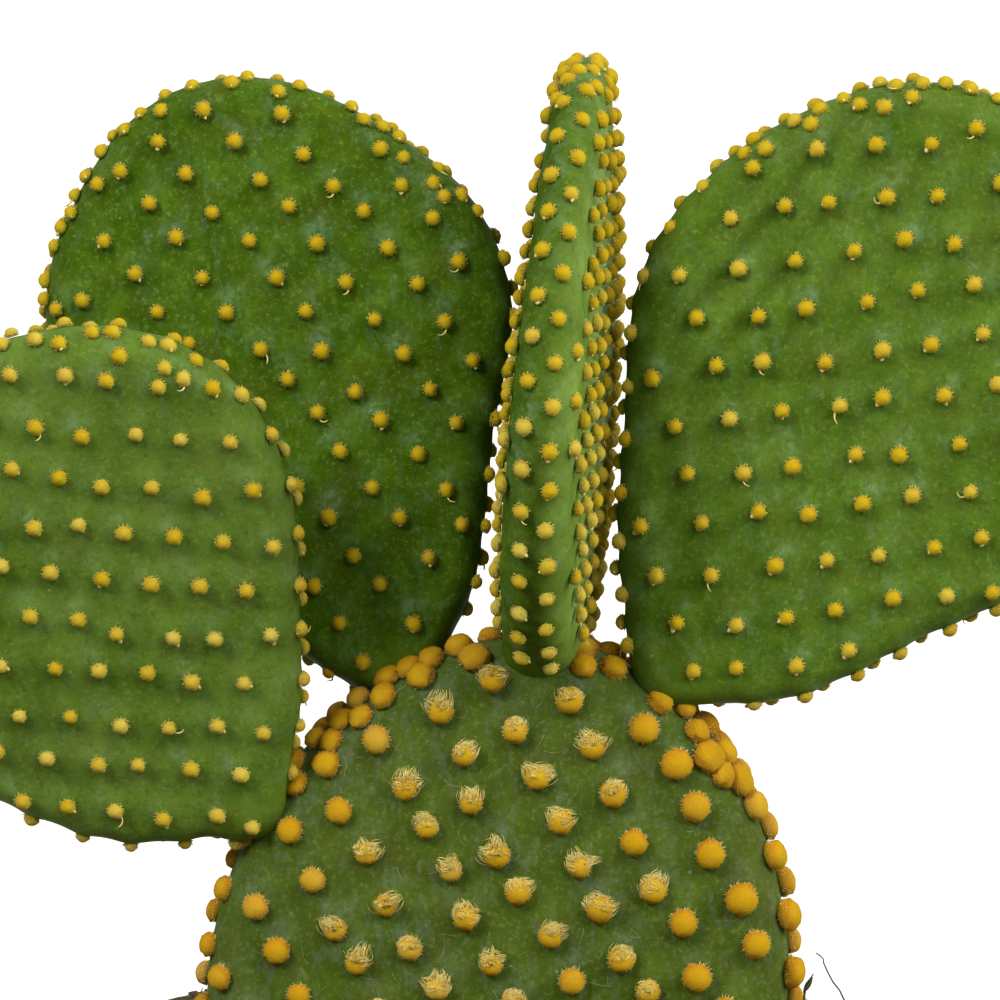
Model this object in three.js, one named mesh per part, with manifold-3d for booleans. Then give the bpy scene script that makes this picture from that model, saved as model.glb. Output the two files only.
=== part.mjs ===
// A potted paddle cactus: one big pad stands in the soil of a clay pot and carries four younger pads,
// all of them studded with tufts of fine bristles. Millimetres, +Z up, the front towards -Y.
// The origin is the centre of the pot's foot.

import * as THREE from 'three';
import { mergeVertices } from 'three/addons/utils/BufferGeometryUtils.js';
import { ConvexHull } from 'three/addons/math/ConvexHull.js';
import Module from 'manifold-3d';

const wasm = await Module();
wasm.setup();

// Gap between pieces that touch
const seatGap = 0.3;

// Pot: a round clay pot with a collar and a drainage hole
const potHeight = 105;
const potRimRadius = 60;
const potFootRadius = 40;
const potWall = 4.5;
const potFloor = 7;
const floorRadius = 36;
const drainRadius = 7;
const collarHeight = 25;
const collarTaper = 1.2;
const lipRound = 1.2;
const potSides = 48;

// Soil: it is heaped a little above the rim and falls away to the wall
const soilCrown = 109.4;
const soilShoulder = 108.8;
const soilShoulderRadius = 50.5;
const soilAtWall = 101.5;
const soilRound = 1.2;
const soilWallGap = 0.36;

// Tufts: how far they stay clear of another pad and of the soil, and how uneven their places are
const tuftClearance = 0.7;
const soilClearance = 2.2;
const placeJitter = 0.24;
const rimZigzag = 1.5;
const rimInset = 4.2;
const latticeReach = 24;

// Outline: how narrow the stub at a pad's foot is, and how many places it is traced through
const neckSharpness = 90;
const outlineSteps = 180;

// Pads: the width runs along X, the thickness along Y and the length along Z, before they are turned.
// egg widens the upper half, skew and shear make the two sides unequal, pinch draws in the four corners,
// and neck is how far the stub at the foot goes on into the pad below, turned by neckTurn degrees. rim is
// the radius of the rounded edge, dome is how far each face swells above it, and taper thins the pad towards
// its top. foot is the middle of the lower edge; roll tips the pad to the right, lean tips it to the front,
// and yaw turns it round its own length. start is one place of the tufts' lattice, and stepA and stepB are
// its two steps.
const youngPad = {
  rim: 3.7,
  dome: 1.8,
  taper: 0,
  tuftRadius: 1.2,
  tuftHeight: 1.35,
  rimSpacing: 3.8,
  colour: '#48661f',
  roughness: 0.62,
};

const pads = {
  pad_mother: {
    ...youngPad,
    length: 108,
    width: 81,
    egg: 0.07,
    skew: 0.065,
    shear: 0.02,
    pinch: 0.015,
    neck: 0,
    neckTurn: 0,
    rim: 5.6,
    dome: 3.1,
    foot: [-2, 0, 57.8],
    roll: 1.5,
    lean: 0,
    yaw: 0,
    start: [-3.2, 32.6],
    stepA: [7.76, 3.92],
    stepB: [-3.21, 6.17],
    tuftRadius: 2,
    tuftHeight: 2.2,
    rimSpacing: 4.1,
    colour: '#435b19',
  },
  pad_back_left: {
    ...youngPad,
    length: 86.6,
    width: 62.2,
    egg: 0.36,
    skew: -0.01,
    shear: -0.09,
    pinch: 0.085,
    neck: 4.5,
    neckTurn: 1.5,
    foot: [-15.6, 3, 161.2],
    roll: -16.9,
    lean: -8,
    yaw: 0,
    start: [5.2, 2.4],
    stepA: [7.2, 2.45],
    stepB: [-2.36, 5.83],
  },
  pad_front_left: {
    ...youngPad,
    length: 78.5,
    width: 69.6,
    egg: 0.32,
    skew: 0.015,
    shear: 0.05,
    pinch: 0.015,
    neck: 5.5,
    neckTurn: 4.9,
    foot: [-37.3, -3, 141.8],
    roll: -33.9,
    lean: 15,
    yaw: -8,
    start: [4.8, -4.2],
    stepA: [6.8, 3.7],
    stepB: [-5.1, 4.2],
  },
  pad_centre: {
    ...youngPad,
    length: 85.2,
    width: 68,
    egg: -0.08,
    skew: 0,
    shear: 0,
    pinch: 0.03,
    neck: 3,
    neckTurn: 0,
    rim: 3.8,
    dome: 1.6,
    taper: 0.27,
    foot: [6, 0, 162.3],
    roll: 4.1,
    lean: -2,
    yaw: 84,
    start: [1.5, 1.2],
    stepA: [4.6, 3.1],
    stepB: [4.6, -3.1],
    rimSpacing: 3,
  },
  pad_right: {
    ...youngPad,
    length: 91.5,
    width: 73,
    egg: 0.12,
    skew: -0.15,
    shear: -0.09,
    pinch: 0.103,
    neck: 5,
    neckTurn: -5.7,
    foot: [26.9, -1, 160],
    roll: 31.6,
    lean: -3,
    yaw: 8,
    start: [1.1, 3],
    stepA: [6.07, 4.64],
    stepB: [-5.36, 4.84],
  },
};

// A fixed number between -0.5 and 0.5 for each whole number
function wobble(index) {
  const spread = Math.sin(index * 12.9898 + 4.1414) * 43758.5453;
  return spread - Math.floor(spread) - 0.5;
}

// Distance from a pad's middle to its edge, at an angle from its right-hand side
function edgeRadius(pad, angle) {
  const across = Math.cos(angle);
  const up = Math.sin(angle);
  const ellipse = 1 / Math.hypot(across / (pad.width / 2), up / (pad.length / 2));
  const corners = 1 - pad.pinch * (2 * across * up) ** 2;
  const sides = pad.egg * up * across ** 2 + pad.skew * across * up ** 2 + pad.shear * across * up;
  const fromNeck = angle + Math.PI / 2 - THREE.MathUtils.degToRad(pad.neckTurn);
  const stub = pad.neck * Math.max(0, Math.cos(fromNeck)) ** neckSharpness;
  return ellipse * (corners + sides) + stub;
}

// Distance along the skin from the middle of a face to the edge
function skinReach(pad, angle) {
  return edgeRadius(pad, angle) - pad.rim + pad.rim * Math.PI / 2;
}

// How thick a pad is at a height above its middle, as a share
function thinning(pad, up) {
  return 1 - pad.taper * 2 * up / pad.length;
}

// The skin of a face laid out flat: u runs across and v runs up from the middle, both measured along
// the skin, and side is -1 on the front and 1 on the back. Past the edge the skin goes on round the rim.
function skinPoint(pad, u, v, side) {
  const angle = Math.atan2(v, u);
  const edge = edgeRadius(pad, angle);
  const along = Math.hypot(u, v);
  const turn = Math.max(0, (along - edge + pad.rim) / pad.rim);
  const out = Math.min(along, edge - pad.rim) + pad.rim * Math.sin(turn);
  const swell = pad.dome * (1 - (out / edge) ** 2) * Math.sign(Math.cos(turn));
  const up = out * Math.sin(angle);
  const thick = (pad.rim * Math.cos(turn) + swell) * thinning(pad, up);
  return new THREE.Vector3(out * Math.cos(angle), side * thick, up + pad.length / 2);
}

// The outward direction of the skin, from two short steps along it
function skinNormal(pad, u, v, side) {
  const step = 0.05;
  const across = skinPoint(pad, u + step, v, side).sub(skinPoint(pad, u - step, v, side));
  const up = skinPoint(pad, u, v + step, side).sub(skinPoint(pad, u, v - step, side));
  return across.cross(up).multiplyScalar(-side).normalize();
}

// The same place on a unit ball, which sets which places are joined by triangles
function ballPoint(pad, u, v, side) {
  const angle = Math.atan2(v, u);
  const fromPole = Math.PI / 2 * Math.hypot(u, v) / skinReach(pad, angle);
  return new THREE.Vector3(
    Math.sin(fromPole) * Math.cos(angle),
    side * Math.cos(fromPole),
    Math.sin(fromPole) * Math.sin(angle),
  );
}

// Whether a point in a pad's own frame lies within a margin of that pad
function isNearPad(pad, point, margin) {
  const up = point.z - pad.length / 2;
  const out = Math.hypot(point.x, up);
  const edge = edgeRadius(pad, Math.atan2(up, point.x));
  if (out > edge + margin) {
    return false;
  }
  const past = Math.min(1, Math.max(0, (out - edge + pad.rim) / pad.rim));
  const swell = pad.dome * Math.max(0, 1 - (out / edge) ** 2);
  const thick = (pad.rim * Math.sqrt(1 - past ** 2) + swell) * thinning(pad, up);
  return Math.abs(point.y) < thick + margin;
}

// Places of a face's tufts: a slanted lattice, a little uneven, that stops short of the edge
function facePlaces(pad, side) {
  const places = [];
  for (let i = -latticeReach; i <= latticeReach; i += 1) {
    for (let j = -latticeReach; j <= latticeReach; j += 1) {
      const index = 2 * (i * (2 * latticeReach + 1) + j) + side;
      const a = i + placeJitter * wobble(index);
      const b = j + placeJitter * wobble(index + 0.5);
      const u = pad.start[0] + a * pad.stepA[0] + b * pad.stepB[0];
      const v = pad.start[1] + a * pad.stepA[1] + b * pad.stepB[1];
      if (Math.hypot(u, v) < skinReach(pad, Math.atan2(v, u)) - rimInset) {
        places.push({ u, v, side });
      }
    }
  }
  return places;
}

// Places of the rim's tufts: almost evenly spaced along the edge, just in front and just behind it in turn
function rimPlaces(pad) {
  const outline = [];
  for (let i = 0; i < outlineSteps; i += 1) {
    const angle = i / outlineSteps * Math.PI * 2;
    const edge = edgeRadius(pad, angle);
    outline.push(new THREE.Vector3(edge * Math.cos(angle), 0, edge * Math.sin(angle)));
  }
  const curve = new THREE.CatmullRomCurve3(outline, true);
  const count = 2 * Math.round(curve.getLength() / pad.rimSpacing / 2);
  return curve.getSpacedPoints(count).slice(0, count).map((point, index) => {
    const slip = pad.rimSpacing * placeJitter * wobble(index + 0.5);
    const angle = Math.atan2(point.z, point.x) + slip / Math.hypot(point.x, point.z);
    const inset = rimZigzag * (1 + placeJitter * wobble(index));
    const along = skinReach(pad, angle) - inset;
    return { u: along * Math.cos(angle), v: along * Math.sin(angle), side: index % 2 ? 1 : -1 };
  });
}

// Whether a tuft has room: it is clear of the soil and of every other pad
function hasRoom(pad, place) {
  const tip = skinPoint(pad, place.u, place.v, place.side)
    .addScaledVector(skinNormal(pad, place.u, place.v, place.side), pad.tuftHeight)
    .applyMatrix4(pad.toPlant);
  if (tip.z < soilCrown + soilClearance) {
    return false;
  }
  return Object.values(pads).every((other) => {
    const margin = tuftClearance + other.tuftHeight;
    return other === pad || !isNearPad(other, tip.clone().applyMatrix4(other.fromPlant), margin);
  });
}

// One pad with its tufts raised from the skin as four-sided points. Every place is one corner of the
// skin, and a tuft adds four corners round its root. extra thickens the whole pad.
function padGeometry(pad, extra = 0) {
  const corners = new Map();
  const addCorner = (u, v, side, lift) => {
    const position = skinPoint(pad, u, v, side);
    position.addScaledVector(skinNormal(pad, u, v, side), lift + extra);
    corners.set(ballPoint(pad, u, v, side), position);
  };
  const places = [...facePlaces(pad, -1), ...facePlaces(pad, 1), ...rimPlaces(pad)];
  places.forEach((place, index) => {
    const raised = hasRoom(pad, place);
    addCorner(place.u, place.v, place.side, raised ? pad.tuftHeight : 0);
    for (let k = 0; raised && k < 4; k += 1) {
      const angle = (k + wobble(index)) * Math.PI / 2;
      const u = place.u + pad.tuftRadius * Math.cos(angle);
      const v = place.v + pad.tuftRadius * Math.sin(angle);
      addCorner(u, v, place.side, 0);
    }
  });
  const hull = new ConvexHull().setFromPoints([...corners.keys()]);
  const positions = [];
  for (const face of hull.faces) {
    let edge = face.edge;
    for (let k = 0; k < 3; k += 1) {
      positions.push(...corners.get(edge.head().point));
      edge = edge.next;
    }
  }
  const geometry = new THREE.BufferGeometry();
  geometry.setAttribute('position', new THREE.Float32BufferAttribute(positions, 3));
  return geometry;
}

// A closed solid of a geometry, for cutting and joining
function toSolid(geometry) {
  const bare = geometry.clone();
  bare.deleteAttribute('normal');
  bare.deleteAttribute('uv');
  const merged = mergeVertices(bare, 1e-4);
  return new wasm.Manifold(new wasm.Mesh({
    numProp: 3,
    vertProperties: merged.attributes.position.array,
    triVerts: Uint32Array.from(merged.index.array),
  }));
}

function toGeometry(solid) {
  const mesh = solid.getMesh();
  const geometry = new THREE.BufferGeometry();
  geometry.setAttribute('position', new THREE.BufferAttribute(mesh.vertProperties, 3));
  geometry.setIndex(new THREE.BufferAttribute(mesh.triVerts, 1));
  geometry.computeVertexNormals();
  return geometry;
}

// A solid of revolution round Z, from its profile of radii and heights
function turned(profile, sides) {
  const points = profile.map(([radius, height]) => new THREE.Vector2(radius, height));
  return new THREE.LatheGeometry(points, sides).rotateX(Math.PI / 2);
}

// Radius of the pot's inner wall at a height
function innerRadius(height) {
  const mouthRadius = potRimRadius - potWall;
  return THREE.MathUtils.mapLinear(height, potFloor, potHeight, floorRadius, mouthRadius);
}

function potGeometry() {
  const collarBase = potHeight - collarHeight;
  const bodyTop = innerRadius(collarBase) + potWall;
  const mouth = innerRadius(potHeight);
  const profile = [
    [drainRadius, 0],
    [potFootRadius - lipRound, 0],
    [potFootRadius, lipRound],
    [bodyTop, collarBase],
    [potRimRadius - collarTaper, collarBase],
    [potRimRadius, potHeight - lipRound],
    [potRimRadius - lipRound, potHeight],
    [mouth + lipRound, potHeight],
    [innerRadius(potHeight - lipRound), potHeight - lipRound],
    [floorRadius, potFloor],
    [drainRadius, potFloor],
    [drainRadius, 0],
  ];
  return turned(profile, potSides);
}

function soilGeometry() {
  const low = potFloor + seatGap;
  const edgeRadiusAtWall = innerRadius(soilAtWall) - soilWallGap;
  const profile = [
    [0, low],
    [innerRadius(low) - soilWallGap, low],
    [edgeRadiusAtWall, soilAtWall],
    [(soilShoulderRadius + edgeRadiusAtWall) / 2, (soilShoulder + soilAtWall) / 2 + soilRound],
    [soilShoulderRadius, soilShoulder],
    [soilShoulderRadius / 2, soilCrown],
    [0, soilCrown],
  ];
  return turned(profile, potSides);
}

function makeMesh(name, geometry, colour, roughness) {
  const material = new THREE.MeshStandardMaterial({ color: colour, roughness, metalness: 0 });
  const mesh = new THREE.Mesh(geometry, material);
  mesh.name = name;
  return mesh;
}

// Each pad's place on the plant
for (const pad of Object.values(pads)) {
  const turn = new THREE.Euler(
    THREE.MathUtils.degToRad(pad.lean),
    THREE.MathUtils.degToRad(pad.roll),
    THREE.MathUtils.degToRad(pad.yaw),
    'YXZ',
  );
  pad.toPlant = new THREE.Matrix4().makeRotationFromEuler(turn).setPosition(...pad.foot);
  pad.fromPlant = pad.toPlant.clone().invert();
}

// The plant: the young pads' feet are cut to the mother pad's rim
const mother = pads.pad_mother;
const socket = toSolid(padGeometry(mother, seatGap).applyMatrix4(mother.toPlant));
const plant = new THREE.Group();
for (const [name, pad] of Object.entries(pads)) {
  let geometry = padGeometry(pad).applyMatrix4(pad.toPlant);
  if (pad !== mother) {
    geometry = toGeometry(toSolid(geometry).subtract(socket));
  }
  plant.add(makeMesh(name, geometry, pad.colour, pad.roughness));
}

// The crown is centred over the pot
const crown = new THREE.Box3().setFromObject(plant);
plant.position.x = -(crown.min.x + crown.max.x) / 2;

// The soil has a hole in the shape of the mother pad's foot
const plantedSocket = socket.translate([plant.position.x, 0, 0]);
const soil = toGeometry(toSolid(soilGeometry()).subtract(plantedSocket));

const group = new THREE.Group();
group.add(plant);
group.add(makeMesh('soil', soil, '#4c4128', 0.95));
group.add(makeMesh('pot', potGeometry(), '#b5673f', 0.85));

export default group;
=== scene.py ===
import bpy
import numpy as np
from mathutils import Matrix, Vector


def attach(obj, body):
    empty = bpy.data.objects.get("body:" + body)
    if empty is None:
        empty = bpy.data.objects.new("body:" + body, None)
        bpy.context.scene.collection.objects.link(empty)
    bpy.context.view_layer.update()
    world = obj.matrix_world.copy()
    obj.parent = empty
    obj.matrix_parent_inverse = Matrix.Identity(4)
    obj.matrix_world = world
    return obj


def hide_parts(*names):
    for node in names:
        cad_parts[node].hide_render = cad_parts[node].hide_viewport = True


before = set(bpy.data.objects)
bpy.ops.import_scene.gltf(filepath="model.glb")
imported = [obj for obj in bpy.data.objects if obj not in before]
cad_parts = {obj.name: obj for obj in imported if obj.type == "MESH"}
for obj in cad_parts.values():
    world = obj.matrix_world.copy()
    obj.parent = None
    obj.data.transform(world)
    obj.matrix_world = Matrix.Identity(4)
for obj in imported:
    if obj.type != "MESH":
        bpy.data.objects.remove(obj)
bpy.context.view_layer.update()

# A golden bunny-ear cactus in a clay pot: the looks of its pads, bristle tufts, soil and pot.
# Shapes are worked out in millimetres, +Z up and the front towards -Y, and putMesh turns them to metres.

scene = bpy.context.scene
mm = 0.001
fullTurn = 2 * np.pi


def linear(code):
    # An sRGB hex colour as linear light: a short straight part, then a power of 2.4
    values = np.array([int(code[i:i + 2], 16) / 255 for i in (1, 3, 5)])
    curve = np.where(values <= 0.04045, values / 12.92, ((values + 0.055) / 1.055) ** 2.4)
    return (*curve.tolist(), 1)


def addNode(tree, kind, inputs=None, output=0, **settings):
    # Adds a node with its settings and gives its output. An input that is a socket is linked, and anything
    # else is its value.
    node = tree.nodes.new("ShaderNode" + kind)
    for key, value in settings.items():
        setattr(node, key, value)
    for key, value in (inputs or {}).items():
        if isinstance(value, bpy.types.NodeSocket):
            tree.links.new(value, node.inputs[key])
        else:
            node.inputs[key].default_value = value
    return node.outputs[output]


def newMaterial(name, **constants):
    # A material with its shader's fixed values set on the sockets themselves
    material = bpy.data.materials.new(name)
    material.use_nodes = True
    for key, value in constants.items():
        material.node_tree.nodes["Principled BSDF"].inputs[key].default_value = value
    return material, material.node_tree


def toShader(tree, key, socket):
    tree.links.new(socket, tree.nodes["Principled BSDF"].inputs[key])


def amount(tree, source, low=None, high=None, top=1.0, detail=3, rough=0.55, cells=False, squeeze=None,
           times=None):
    # How much of something there is at each spot. The source is a socket, the name of a value on the points,
    # or the size in mm of lumps of noise or of cells, on Object coordinates that may be squeezed. It rises
    # smoothly from 0 at `low` to `top` at `high`, or is left as it is, and may be multiplied.
    if isinstance(source, str):
        source = addNode(tree, "Attribute", output="Fac", attribute_name=source)
    elif not isinstance(source, bpy.types.NodeSocket):
        place = addNode(tree, "TexCoord", output="Object")
        if squeeze:
            place = addNode(tree, "Mapping", {"Vector": place, "Scale": squeeze})
        inputs = {"Vector": place, "Scale": 1 / (source * mm)}
        if cells:
            source = addNode(tree, "TexVoronoi", inputs, "Distance")
        else:
            source = addNode(tree, "TexNoise", {**inputs, "Detail": detail, "Roughness": rough})
    if low is not None:
        inputs = {"Value": source, "From Min": low, "From Max": high, "To Min": 0.0, "To Max": top}
        source = addNode(tree, "MapRange", inputs, interpolation_type="SMOOTHSTEP")
    if times is not None:
        source = addNode(tree, "Math", {0: source, 1: times}, operation="MULTIPLY")
    return source


def paint(tree, ground, layers):
    # Lays colours over the ground colour, each (colour, how much of it shows), and gives them to the shader
    colour = linear(ground)
    for code, share in layers:
        colour = addNode(tree, "Mix", {0: share, 6: colour, 7: linear(code)}, 2, data_type="RGBA")
    toShader(tree, "Base Color", colour)


def relief(tree, layers):
    # Bumps on top of one another, each (height, strength, depth in mm)
    under = {}
    for height, strength, depth in layers:
        inputs = {"Height": height, "Strength": strength, "Distance": depth * mm, **under}
        under = {"Normal": addNode(tree, "Bump", inputs)}
    toShader(tree, "Normal", under["Normal"])


def unit(vectors):
    return vectors / np.maximum(np.linalg.norm(vectors, axis=-1, keepdims=True), 1e-9)


def putMesh(name, parts, material, replaced=()):
    # Joins the parts, each (points in mm, faces, {attribute: values}), into one piece on the body "root"
    points = np.concatenate([part[0] for part in parts])
    offsets = np.cumsum([0] + [len(part[0]) for part in parts])
    faces = [corners + offset for part, offset in zip(parts, offsets) for corners in part[1]]
    sizes = np.concatenate([np.full(len(corners), corners.shape[1]) for corners in faces])
    order = np.concatenate([corners.ravel() for corners in faces]).astype(np.int32)
    mesh = bpy.data.meshes.new(name)
    mesh.vertices.add(len(points))
    mesh.vertices.foreach_set("co", (points * mm).astype(np.float32).ravel())
    mesh.loops.add(len(order))
    mesh.loops.foreach_set("vertex_index", order)
    mesh.polygons.add(len(sizes))
    mesh.polygons.foreach_set("loop_start", (np.cumsum(sizes) - sizes).astype(np.int32))
    mesh.polygons.foreach_set("use_smooth", np.ones(len(sizes), bool))
    for key in parts[0][2]:
        values = np.concatenate([part[2][key] for part in parts]).astype(np.float32)
        mesh.attributes.new(key, "FLOAT", "POINT").data.foreach_set("value", values)
    mesh.update(calc_edges=True)
    mesh.materials.append(material)
    piece = bpy.data.objects.new(name, mesh)
    scene.collection.objects.link(piece)
    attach(piece, "root")
    if replaced:
        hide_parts(*replaced)


# Pads: their outline, skin and place on the plant

padRules = dict(
    plantShift=6.0655,       # the plant's box is centred over the pot
    neckSharpness=90,        # how narrow the stub at a pad's foot is
    latticeReach=24,
    placeJitter=0.24,
    rimZigzag=1.5,
    rimInset=4.2,
    tuftClearance=0.7,       # tufts stay this far from another pad
    lowestTuft=111.6,        # and above this height, clear of the soil
    crushedDepth=-0.6,       # but the mother pad's go this far into a young pad's foot
    crownSeed=3,
    crownTries=8,            # random places tried for each tuft of a pad's crown
    crownInset=(-0.5, 4.6),  # how far they lie in front of the edge
    crownBack=0.35,          # share of them on the back
)

# The width runs along X, the thickness along Y and the length along Z, before a pad is turned. egg widens
# the upper half, skew and shear make the sides unequal, pinch draws in the corners, neck is the stub at the
# foot. rim is the rounded edge's radius, dome each face's swell, and taper thins the pad towards its top.
# foot is the middle of the lower edge; roll tips the pad to the right, lean to the front, and yaw turns it
# round its length. start is one place of the tufts' lattice, and stepA and stepB are its steps. Up to
# crownCount more tufts, crownGap apart, crowd within crownReach degrees of crownMiddle, where 90 is the top.
# plump is the size of the tufts, tone how pale they are at the top and at the foot, the film is the pale wax
# over the front and over the back, with painted light where the two differ, and folds the height of the long
# folds down the left side.
youngPad = dict(
    age="young", neck=0, neckTurn=0, rim=3.7, dome=1.8, taper=0, yaw=0, tuftRadius=1.2, tuftHeight=1.35,
    rimSpacing=3.8, crownCount=34, crownMiddle=90, crownReach=62, crownGap=2.4, folds=0)
padShapes = {
    "pad_mother": dict(
        youngPad, age="mother", length=108, width=81, egg=0.07, skew=0.065, shear=0.02, pinch=0.015, rim=5.6,
        dome=3.1, foot=(-2, 0, 57.8), roll=1.5, lean=0, start=(-3.2, 32.6), stepA=(7.76, 3.92),
        stepB=(-3.21, 6.17), tuftRadius=2, tuftHeight=2.2, rimSpacing=4.1, crownCount=54, crownMiddle=87,
        crownReach=44, crownGap=3, plump=1, tone=(-0.4, 0.2), filmAndLight=(0.02, 0.02)),
    "pad_back_left": dict(
        youngPad, length=86.6, width=62.2, egg=0.36, skew=-0.01, shear=-0.09, pinch=0.085, neck=4.5,
        neckTurn=1.5, foot=(-15.6, 3, 161.2), roll=-16.9, lean=-8, start=(5.2, 2.4), stepA=(7.2, 2.45),
        stepB=(-2.36, 5.83), plump=1.06, tone=(-0.6, -0.3), filmAndLight=(0, 0)),
    "pad_front_left": dict(
        youngPad, length=78.5, width=69.6, egg=0.32, skew=0.015, shear=0.05, pinch=0.015, neck=5.5,
        neckTurn=4.9, foot=(-37.3, -3, 141.8), roll=-33.9, lean=15, yaw=-8, start=(4.8, -4.2),
        stepA=(6.8, 3.7), stepB=(-5.1, 4.2), plump=1.08, tone=(0.2, 0.5), filmAndLight=(0.22, 0.22)),
    "pad_centre": dict(
        youngPad, length=85.2, width=68, egg=-0.08, skew=0, shear=0, pinch=0.03, neck=3, rim=3.8, dome=1.6,
        taper=0.27, foot=(6, 0, 162.3), roll=4.1, lean=-2, yaw=84, start=(1.5, 1.2), stepA=(4.6, 3.1),
        stepB=(4.6, -3.1), rimSpacing=3, crownCount=26, crownMiddle=98, crownReach=12, crownGap=2, plump=1.1,
        # Painted light: this pad's front face, turned to the right, gets a paler film than its back
        tone=(-0.4, 0.6), filmAndLight=(0.38, 0)),
    "pad_right": dict(
        youngPad, length=91.5, width=73, egg=0.12, skew=-0.15, shear=-0.09, pinch=0.103, neck=5,
        neckTurn=-5.7, foot=(26.9, -1, 160), roll=31.6, lean=-3, yaw=8, start=(1.1, 3), stepA=(6.07, 4.64),
        stepB=(-5.36, 4.84), plump=1.1, tone=(-0.2, 0.1), filmAndLight=(0.1, 0.1), folds=0.65),
}


def wobble(index):
    # A fixed number between -0.5 and 0.5 for each index: the fraction of a large sine
    spread = np.sin(index * 12.9898 + 4.1414) * 43758.5453
    return spread - np.floor(spread) - 0.5


def edgeRadius(pad, angle):
    # An ellipse, its corners pinched and its sides made unequal, plus a narrow bump for the foot's stub
    across, up = np.cos(angle), np.sin(angle)
    ellipse = 1 / np.hypot(across / (pad["width"] / 2), up / (pad["length"] / 2))
    corners = 1 - pad["pinch"] * (2 * across * up) ** 2
    sides = pad["egg"] * up * across ** 2 + pad["skew"] * across * up ** 2 + pad["shear"] * across * up
    fromNeck = np.cos(angle + np.pi / 2 - np.radians(pad["neckTurn"]))
    return ellipse * (corners + sides) + pad["neck"] * np.maximum(0, fromNeck) ** padRules["neckSharpness"]


def skinReach(pad, angle):
    return edgeRadius(pad, angle) - pad["rim"] + pad["rim"] * np.pi / 2


def thinning(pad, up):
    # How thick a pad is at a height above its middle, as a share
    return 1 - pad["taper"] * 2 * up / pad["length"]


def skinPoint(pad, u, v, side):
    # A face laid out flat, u across and v up along the skin: out to the edge less the rim's radius it is a
    # low dome, and past that it turns round the rim by the arc's angle. side is -1 in front, 1 at the back.
    angle = np.arctan2(v, u)
    edge = edgeRadius(pad, angle)
    along = np.hypot(u, v)
    turn = np.maximum(0, (along - edge + pad["rim"]) / pad["rim"])
    out = np.minimum(along, edge - pad["rim"]) + pad["rim"] * np.sin(turn)
    swell = pad["dome"] * (1 - (out / edge) ** 2) * np.sign(np.cos(turn))
    up = out * np.sin(angle)
    thick = (pad["rim"] * np.cos(turn) + swell) * thinning(pad, up)
    return np.stack([out * np.cos(angle), side * thick, up + pad["length"] / 2], -1)


def skinAxes(pad, u, v, side):
    # Outward, upward and sideways directions of the skin, from short steps along it
    small = 0.05
    across = skinPoint(pad, u + small, v, side) - skinPoint(pad, u - small, v, side)
    up = skinPoint(pad, u, v + small, side) - skinPoint(pad, u, v - small, side)
    outward = unit(np.cross(across, up) * -np.expand_dims(side, -1))
    upward = unit(up - outward * np.sum(up * outward, -1, keepdims=True))
    return outward, upward, np.cross(upward, outward)


def padTurn(pad):
    # The turn of a pad: yaw round Z first, then lean round X, then roll round Y
    lean, roll, yaw = np.radians([pad["lean"], pad["roll"], pad["yaw"]])
    aboutX = np.array([[1, 0, 0], [0, np.cos(lean), -np.sin(lean)], [0, np.sin(lean), np.cos(lean)]])
    aboutY = np.array([[np.cos(roll), 0, np.sin(roll)], [0, 1, 0], [-np.sin(roll), 0, np.cos(roll)]])
    aboutZ = np.array([[np.cos(yaw), -np.sin(yaw), 0], [np.sin(yaw), np.cos(yaw), 0], [0, 0, 1]])
    return aboutY @ aboutX @ aboutZ


def toPlant(pad, points):
    return points @ padTurn(pad).T + np.array(pad["foot"]) + (padRules["plantShift"], 0, 0)


def toPad(pad, points):
    return (points - np.array(pad["foot"]) - (padRules["plantShift"], 0, 0)) @ padTurn(pad)


def isNear(pad, points, margin):
    # Whether points in a pad's own frame lie within a margin of it
    up = points[:, 2] - pad["length"] / 2
    out = np.hypot(points[:, 0], up)
    edge = edgeRadius(pad, np.arctan2(up, points[:, 0]))
    past = np.clip((out - edge + pad["rim"]) / pad["rim"], 0, 1)
    swell = pad["dome"] * np.maximum(0, 1 - (out / edge) ** 2)
    thick = (pad["rim"] * np.sqrt(1 - past ** 2) + swell) * thinning(pad, up)
    return (out <= edge + margin) & (np.abs(points[:, 1]) < thick + margin)


def facePlaces(pad, side):
    # A slanted lattice, a little uneven, that stops short of the edge
    reach = padRules["latticeReach"]
    i, j = np.meshgrid(np.arange(-reach, reach + 1), np.arange(-reach, reach + 1), indexing="ij")
    index = 2 * (i * (2 * reach + 1) + j) + side
    a = (i + padRules["placeJitter"] * wobble(index)).ravel()
    b = (j + padRules["placeJitter"] * wobble(index + 0.5)).ravel()
    u, v = [pad["start"][k] + a * pad["stepA"][k] + b * pad["stepB"][k] for k in (0, 1)]
    kept = np.hypot(u, v) < skinReach(pad, np.arctan2(v, u)) - padRules["rimInset"]
    return np.stack([u[kept], v[kept], np.full(kept.sum(), side)], 1)


def rimPlaces(pad):
    # Almost even steps along the outline, just in front of the edge and just behind it in turn
    angles = np.linspace(0, fullTurn, 2881)
    edge = edgeRadius(pad, angles)
    steps = np.hypot(np.diff(edge * np.cos(angles)), np.diff(edge * np.sin(angles)))
    lengths = np.concatenate([[0], np.cumsum(steps)])
    count = 2 * round(lengths[-1] / pad["rimSpacing"] / 2)
    index = np.arange(count)
    angle = np.interp(index * lengths[-1] / count, lengths, angles)
    angle += pad["rimSpacing"] * padRules["placeJitter"] * wobble(index + 0.5) / edgeRadius(pad, angle)
    inset = padRules["rimZigzag"] * (1 + padRules["placeJitter"] * wobble(index))
    along = skinReach(pad, angle) - inset
    side = np.where(index % 2, 1, -1)
    return np.stack([along * np.cos(angle), along * np.sin(angle), side], 1)


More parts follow.
